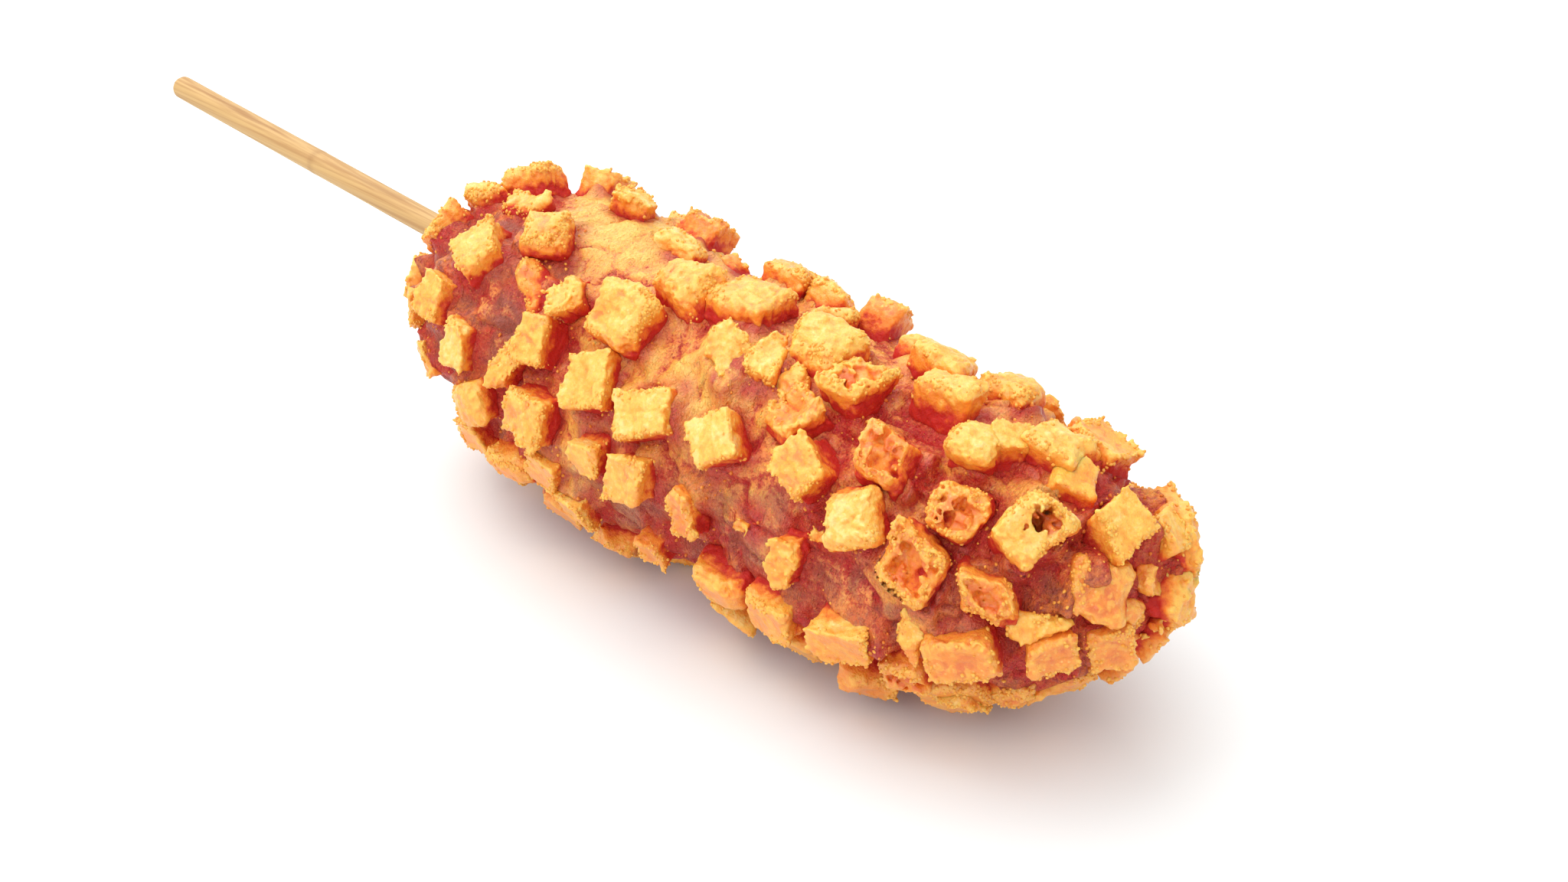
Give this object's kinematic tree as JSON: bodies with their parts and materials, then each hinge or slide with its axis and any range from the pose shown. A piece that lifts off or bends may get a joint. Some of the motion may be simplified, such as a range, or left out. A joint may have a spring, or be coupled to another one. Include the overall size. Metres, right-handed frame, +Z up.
{
  "type": "corn dog",
  "caption": "Fried corn dog on a round stick, its batter studded with fried potato pieces, lying on its side.",
  "frame": {"origin": "middle of the whole, food and stick, on the surface that it lies on", "axes": "+X from the stick towards the food's free end, +Y to the left of that, +Z up; the side that shows faces up and -Y"},
  "size_m": [0.267, 0.0576, 0.0566],
  "materials": {
    "batter": "browned fried batter, oily in its creases",
    "potato": "crisp golden fried potato, orange at its edges",
    "stick": "plain bamboo with fine long fibres"
  },
  "bodies": {
    "root": {"batter": "batter", "stick": "stick", "potato_block_01": "potato", "potato_block_02": "potato", "potato_puffed_03": "potato", "potato_puffed_04": "potato", "potato_block_05": "potato", "potato_block_06": "potato", "potato_block_07": "potato", "potato_block_08": "potato", "potato_puffed_09": "potato", "potato_puffed_10": "potato", "potato_chip_11": "potato", "potato_chip_12": "potato", "potato_puffed_13": "potato", "potato_block_14": "potato", "potato_chip_15": "potato", "potato_block_16": "potato", "potato_puffed_17": "potato", "potato_block_18": "potato", "potato_puffed_19": "potato", "potato_block_20": "potato", "potato_puffed_21": "potato", "potato_block_22": "potato", "potato_puffed_23": "potato", "potato_block_24": "potato", "potato_block_25": "potato", "potato_puffed_26": "potato", "potato_block_27": "potato", "potato_puffed_28": "potato", "potato_chip_29": "potato", "potato_chip_30": "potato", "potato_block_31": "potato", "potato_block_32": "potato", "potato_puffed_33": "potato", "potato_puffed_34": "potato", "potato_chip_35": "potato", "potato_hollow_36": "potato", "potato_block_37": "potato", "potato_block_38": "potato", "potato_chip_39": "potato", "potato_puffed_40": "potato", "potato_puffed_41": "potato", "potato_hollow_42": "potato", "potato_rough_43": "potato", "potato_block_44": "potato", "potato_puffed_45": "potato", "potato_puffed_46": "potato", "potato_hollow_47": "potato", "potato_hollow_48": "potato", "potato_hollow_49": "potato", "potato_hollow_50": "potato", "potato_block_51": "potato", "potato_block_52": "potato", "potato_hollow_53": "potato", "potato_block_54": "potato", "potato_block_55": "potato", "potato_block_56": "potato", "potato_puffed_57": "potato", "potato_block_58": "potato"}
  },
  "joints": []
}
